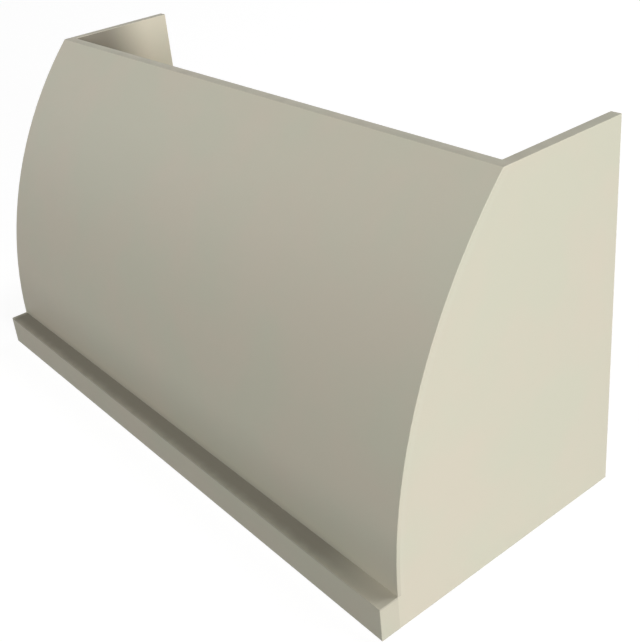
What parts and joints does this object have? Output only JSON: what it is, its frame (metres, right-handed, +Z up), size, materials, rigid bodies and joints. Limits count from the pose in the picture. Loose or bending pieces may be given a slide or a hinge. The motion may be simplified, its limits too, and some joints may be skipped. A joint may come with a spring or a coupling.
{
  "type": "range hood cover",
  "caption": "Painted wooden range hood cover with flat sides, a curved front leaning back over a square foot ledge, open top, back and underside, and wood framing inside.",
  "frame": {"origin": "centre of the underside: the middle of the bounding box's bottom face, in the plane of the bottom edges", "axes": "+X along the width to the cover's right as seen from the front, +Y towards the wall it hangs on, +Z up"},
  "size_m": [1.2192, 0.508, 0.635],
  "materials": {
    "painted_wood": "satin paint",
    "bent_plywood": "raw birch face, painted along its top and ends",
    "framing_wood": "planed, unpainted",
    "dowel_wood": "fluted beech, unpainted",
    "zinc_screw": "zinc plated"
  },
  "bodies": {
    "root": {"left_side_panel": "painted_wood", "right_side_panel": "painted_wood", "outer_front_skin": "painted_wood", "ledge_rail": "painted_wood", "inner_front_skin": "bent_plywood", "front_sill": "framing_wood", "left_rib": "framing_wood", "centre_rib": "framing_wood", "right_rib": "framing_wood", "middle_stringer": "framing_wood", "upper_stringer": "framing_wood", "front_glue_blocks": "framing_wood", "upper_wall_rail": "framing_wood", "lower_wall_rail": "framing_wood", "left_liner_cleat": "framing_wood", "right_liner_cleat": "framing_wood", "left_rail_cleat": "framing_wood", "right_rail_cleat": "framing_wood", "rear_liner_cleat": "framing_wood", "left_cleat_screws": "zinc_screw", "right_cleat_screws": "zinc_screw", "rail_cleat_screws": "zinc_screw", "rear_cleat_screws": "zinc_screw", "upper_rail_screws": "zinc_screw", "lower_rail_screws": "zinc_screw", "rib_foot_screws": "zinc_screw", "rib_stringer_screws": "zinc_screw", "stringer_dowels": "dowel_wood", "sill_dowels": "dowel_wood", "ledge_dowels": "dowel_wood"}
  },
  "joints": []
}
